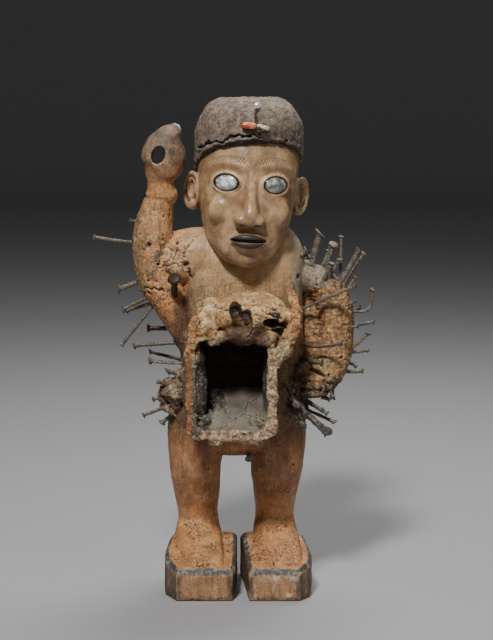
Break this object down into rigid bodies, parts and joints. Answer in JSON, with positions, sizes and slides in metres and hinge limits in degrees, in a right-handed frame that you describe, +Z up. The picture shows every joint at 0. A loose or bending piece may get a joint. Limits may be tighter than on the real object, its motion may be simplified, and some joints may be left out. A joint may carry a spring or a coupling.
{
  "type": "carved male figure",
  "caption": "Standing carved wooden male figure with a raised fist, a resin cap, an open resin box on the belly, glass eyes and iron nails in its arms and hips.",
  "frame": {"origin": "on the ground under the middle of the whole figure", "axes": "+Z up, the figure looks along -Y, its raised right arm is on the -X side"},
  "size_m": [0.344, 0.189, 0.6],
  "materials": {
    "carved_wood": "aged, rubbed smooth on the head and shoulders, dry and flaking on the limbs",
    "cap_resin": "matt grey-brown tree resin mixed with clay, pitted",
    "crusted_resin": "rough cream and ochre crust of resin and earth",
    "eye_glass": "polished, over a pale ground",
    "red_bead": "glossy orange-red",
    "pale_shell": "worn cream",
    "bright_stud": "bright",
    "nail_iron": "hand-forged, rusted grey-brown",
    "dark_iron": "hand-forged, near black"
  },
  "bodies": {
    "root": {"carved_figure": "carved_wood", "head_cap": "cap_resin", "belly_pack": "crusted_resin", "hip_lump": "crusted_resin", "eye_glass_right": "eye_glass", "eye_glass_left": "eye_glass", "cap_bead": "red_bead", "cap_shell": "pale_shell", "cap_stud": "bright_stud", "mound_knob_large": "dark_iron", "mound_knob_small": "dark_iron", "shoulder_bolt_dark": "dark_iron", "side_spike_dark": "dark_iron", "side_blade_dark": "dark_iron", "crotch_peg": "nail_iron", "forearm_nail_long": "nail_iron", "forearm_twig": "nail_iron", "elbow_nail_thick": "nail_iron", "elbow_nail_a": "nail_iron", "elbow_nail_b": "nail_iron", "elbow_nail_c": "nail_iron", "elbow_stub": "nail_iron", "side_nail": "nail_iron", "side_nail_knotted": "nail_iron", "side_stub": "nail_iron", "lump_nail_small": "nail_iron", "lump_nail_long": "nail_iron", "hip_nail": "nail_iron", "shoulder_bolt_big": "nail_iron", "shoulder_nail_a": "nail_iron", "shoulder_nail_b": "nail_iron", "shoulder_nail_c": "nail_iron", "shoulder_nail_d": "nail_iron", "shoulder_nail_e": "nail_iron", "shoulder_blade": "nail_iron", "arm_nail_short": "nail_iron", "arm_spike_across": "nail_iron", "arm_nail_high": "nail_iron", "arm_nail_mid": "nail_iron", "arm_nail_low": "nail_iron", "arm_nail_level": "nail_iron", "hand_nail_out": "nail_iron", "inner_nail_long": "nail_iron", "inner_nail_stout": "nail_iron", "hand_spike": "nail_iron", "hand_nail_a": "nail_iron", "hand_nail_b": "nail_iron", "hip_nail_left_a": "nail_iron", "hip_nail_left_stout": "nail_iron", "front_nail_a": "nail_iron", "front_nail_b": "nail_iron", "back_nail_a": "nail_iron", "back_nail_b": "nail_iron", "back_nail_c": "nail_iron"}
  },
  "joints": []
}
